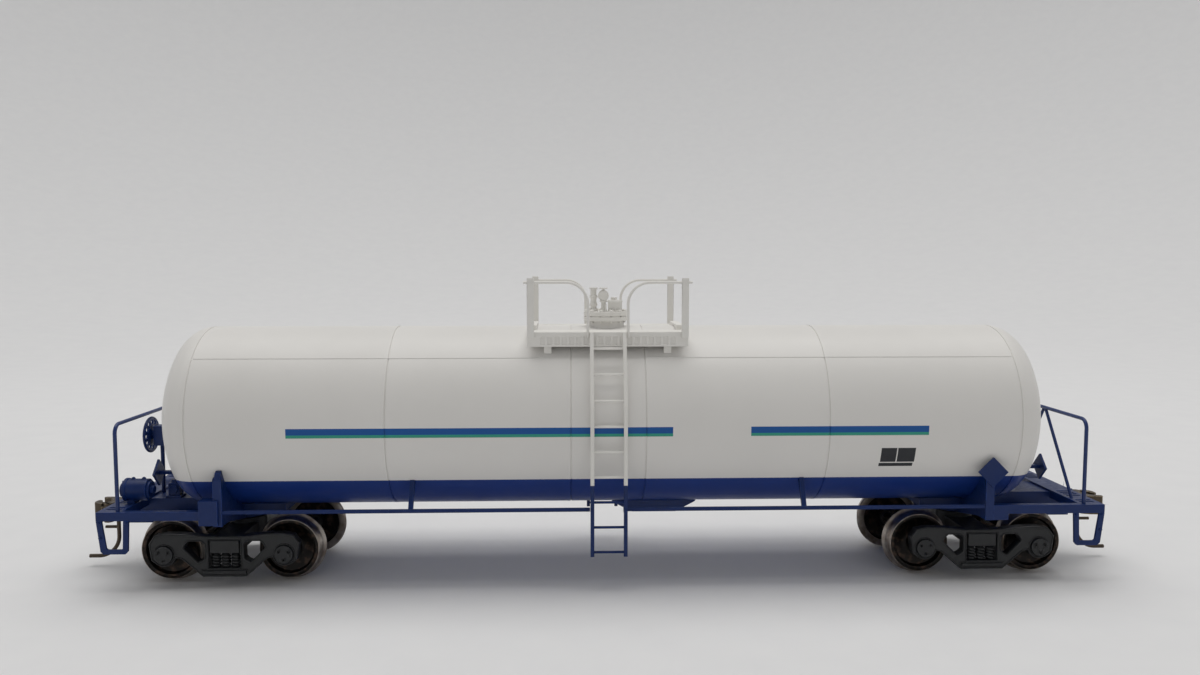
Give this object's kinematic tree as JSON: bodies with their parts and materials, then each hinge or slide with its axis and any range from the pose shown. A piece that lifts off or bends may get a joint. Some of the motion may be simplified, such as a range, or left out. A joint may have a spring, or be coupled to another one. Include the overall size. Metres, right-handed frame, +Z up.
{
  "type": "model tank wagon",
  "caption": "Scale model tank wagon: hollow jacketed tank on stub sills and saddles, top platform and ladders, swivelling trucks with turning wheelsets, swinging couplers.",
  "frame": {"origin": "under the middle of the wagon, on the flat surface that the wheel flanges stand on", "axes": "+X along the wagon towards the end without the brake wheel, +Y across it, +Z up"},
  "size_m": [0.1906, 0.0344, 0.0532],
  "materials": {
    "tank_paint": "smooth off-white spray paint over plastic, navy below the waist, thin blue and green stripe",
    "white_plastic": "matte off-white moulded plastic",
    "blue_plastic": "satin navy moulded plastic",
    "blue_wire": "navy paint on drawn wire",
    "truck_plastic": "matte black acetal, slightly dusty",
    "wheel_metal": "turned and browned metal, bright tread, blackened faces",
    "axle_steel": "blackened turned steel",
    "bush_plastic": "black insulating plastic",
    "coupler_metal": "die-cast metal, chemically browned",
    "trip_steel": "darkened steel wire",
    "spring_bronze": "phosphor bronze leaf",
    "screw_steel": "zinc plated steel",
    "ballast_steel": "mill-finish steel bar"
  },
  "bodies": {
    "wagon": {"tank_barrel": "tank_paint", "tank_head_left": "tank_paint", "tank_head_right": "tank_paint", "ballast_weight": "ballast_steel", "frame_screws": "screw_steel", "stub_sill_left": "blue_plastic", "stub_sill_right": "blue_plastic", "body_bolster_left": "blue_plastic", "body_bolster_right": "blue_plastic", "side_sills": "blue_plastic", "end_platform_left": "blue_plastic", "end_platform_right": "blue_plastic", "end_rail_left": "blue_wire", "end_rail_right": "blue_wire", "step_irons": "blue_plastic", "placard_boards": "blue_plastic", "platform_deck": "white_plastic", "platform_brackets": "white_plastic", "platform_posts": "white_plastic", "platform_rails": "white_plastic", "ladder_uppers": "white_plastic", "ladder_lowers": "blue_plastic", "side_rails": "blue_plastic", "outlet_skid": "blue_plastic", "brake_rod": "blue_wire", "manway_cover": "white_plastic", "manway_bolts": "white_plastic", "top_valves": "white_plastic", "valve_box": "white_plastic", "brake_stand": "blue_plastic", "brake_wheel": "blue_plastic", "air_reservoir": "blue_plastic", "control_valve": "blue_plastic", "coupler_box_lids": "blue_plastic", "cut_levers": "blue_wire", "centring_springs": "spring_bronze"},
    "truck_left": {"truck_bolster_left": "truck_plastic", "truck_frames_left": "truck_plastic", "truck_springs_left": "truck_plastic"},
    "truck_right": {"truck_bolster_right": "truck_plastic", "truck_frames_right": "truck_plastic", "truck_springs_right": "truck_plastic"},
    "wheelset_1": {"axle_1": "axle_steel", "wheels_1": "wheel_metal", "wheel_bush_1": "bush_plastic"},
    "wheelset_2": {"axle_2": "axle_steel", "wheels_2": "wheel_metal", "wheel_bush_2": "bush_plastic"},
    "wheelset_3": {"axle_3": "axle_steel", "wheels_3": "wheel_metal", "wheel_bush_3": "bush_plastic"},
    "wheelset_4": {"axle_4": "axle_steel", "wheels_4": "wheel_metal", "wheel_bush_4": "bush_plastic"},
    "coupler_left": {"coupler_left": "coupler_metal", "trip_pin_left": "trip_steel"},
    "knuckle_left": {"knuckle_left": "coupler_metal"},
    "coupler_right": {"coupler_right": "coupler_metal", "trip_pin_right": "trip_steel"},
    "knuckle_right": {"knuckle_right": "coupler_metal"}
  },
  "joints": [
    {"name": "truck_left_swivel", "type": "hinge", "parent": "wagon", "child": "truck_left", "pos_m": [-0.066, 0, 0.0085], "axis": [0, 0, 1], "range_deg": [-11, 11]},
    {"name": "truck_right_swivel", "type": "hinge", "parent": "wagon", "child": "truck_right", "pos_m": [0.066, 0, 0.0085], "axis": [0, 0, 1], "range_deg": [-11, 11]},
    {"name": "wheelset_1_spin", "type": "hinge", "parent": "truck_left", "child": "wheelset_1", "pos_m": [-0.0762, 0, 0.0059], "axis": [0, 1, 0], "continuous": true},
    {"name": "wheelset_2_spin", "type": "hinge", "parent": "truck_left", "child": "wheelset_2", "pos_m": [-0.0558, 0, 0.0059], "axis": [0, 1, 0], "continuous": true},
    {"name": "wheelset_3_spin", "type": "hinge", "parent": "truck_right", "child": "wheelset_3", "pos_m": [0.0558, 0, 0.0059], "axis": [0, 1, 0], "continuous": true},
    {"name": "wheelset_4_spin", "type": "hinge", "parent": "truck_right", "child": "wheelset_4", "pos_m": [0.0762, 0, 0.0059], "axis": [0, 1, 0], "continuous": true},
    {"name": "coupler_left_swing", "type": "hinge", "parent": "wagon", "child": "coupler_left", "pos_m": [-0.0815, 0, 0.01055], "axis": [0, 0, 1], "range_deg": [-12, 12], "stiffness_Nm_per_rad": 0.0004},
    {"name": "coupler_right_swing", "type": "hinge", "parent": "wagon", "child": "coupler_right", "pos_m": [0.0815, 0, 0.01055], "axis": [0, 0, 1], "range_deg": [-12, 12], "stiffness_Nm_per_rad": 0.0004},
    {"name": "knuckle_left_swing", "type": "hinge", "parent": "coupler_left", "child": "knuckle_left", "pos_m": [-0.0906, -0.0019, 0.01055], "axis": [0, 0, 1], "range_deg": [0, 20], "stiffness_Nm_per_rad": 0.0001},
    {"name": "knuckle_right_swing", "type": "hinge", "parent": "coupler_right", "child": "knuckle_right", "pos_m": [0.0906, 0.0019, 0.01055], "axis": [0, 0, 1], "range_deg": [0, 20], "stiffness_Nm_per_rad": 0.0001}
  ]
}
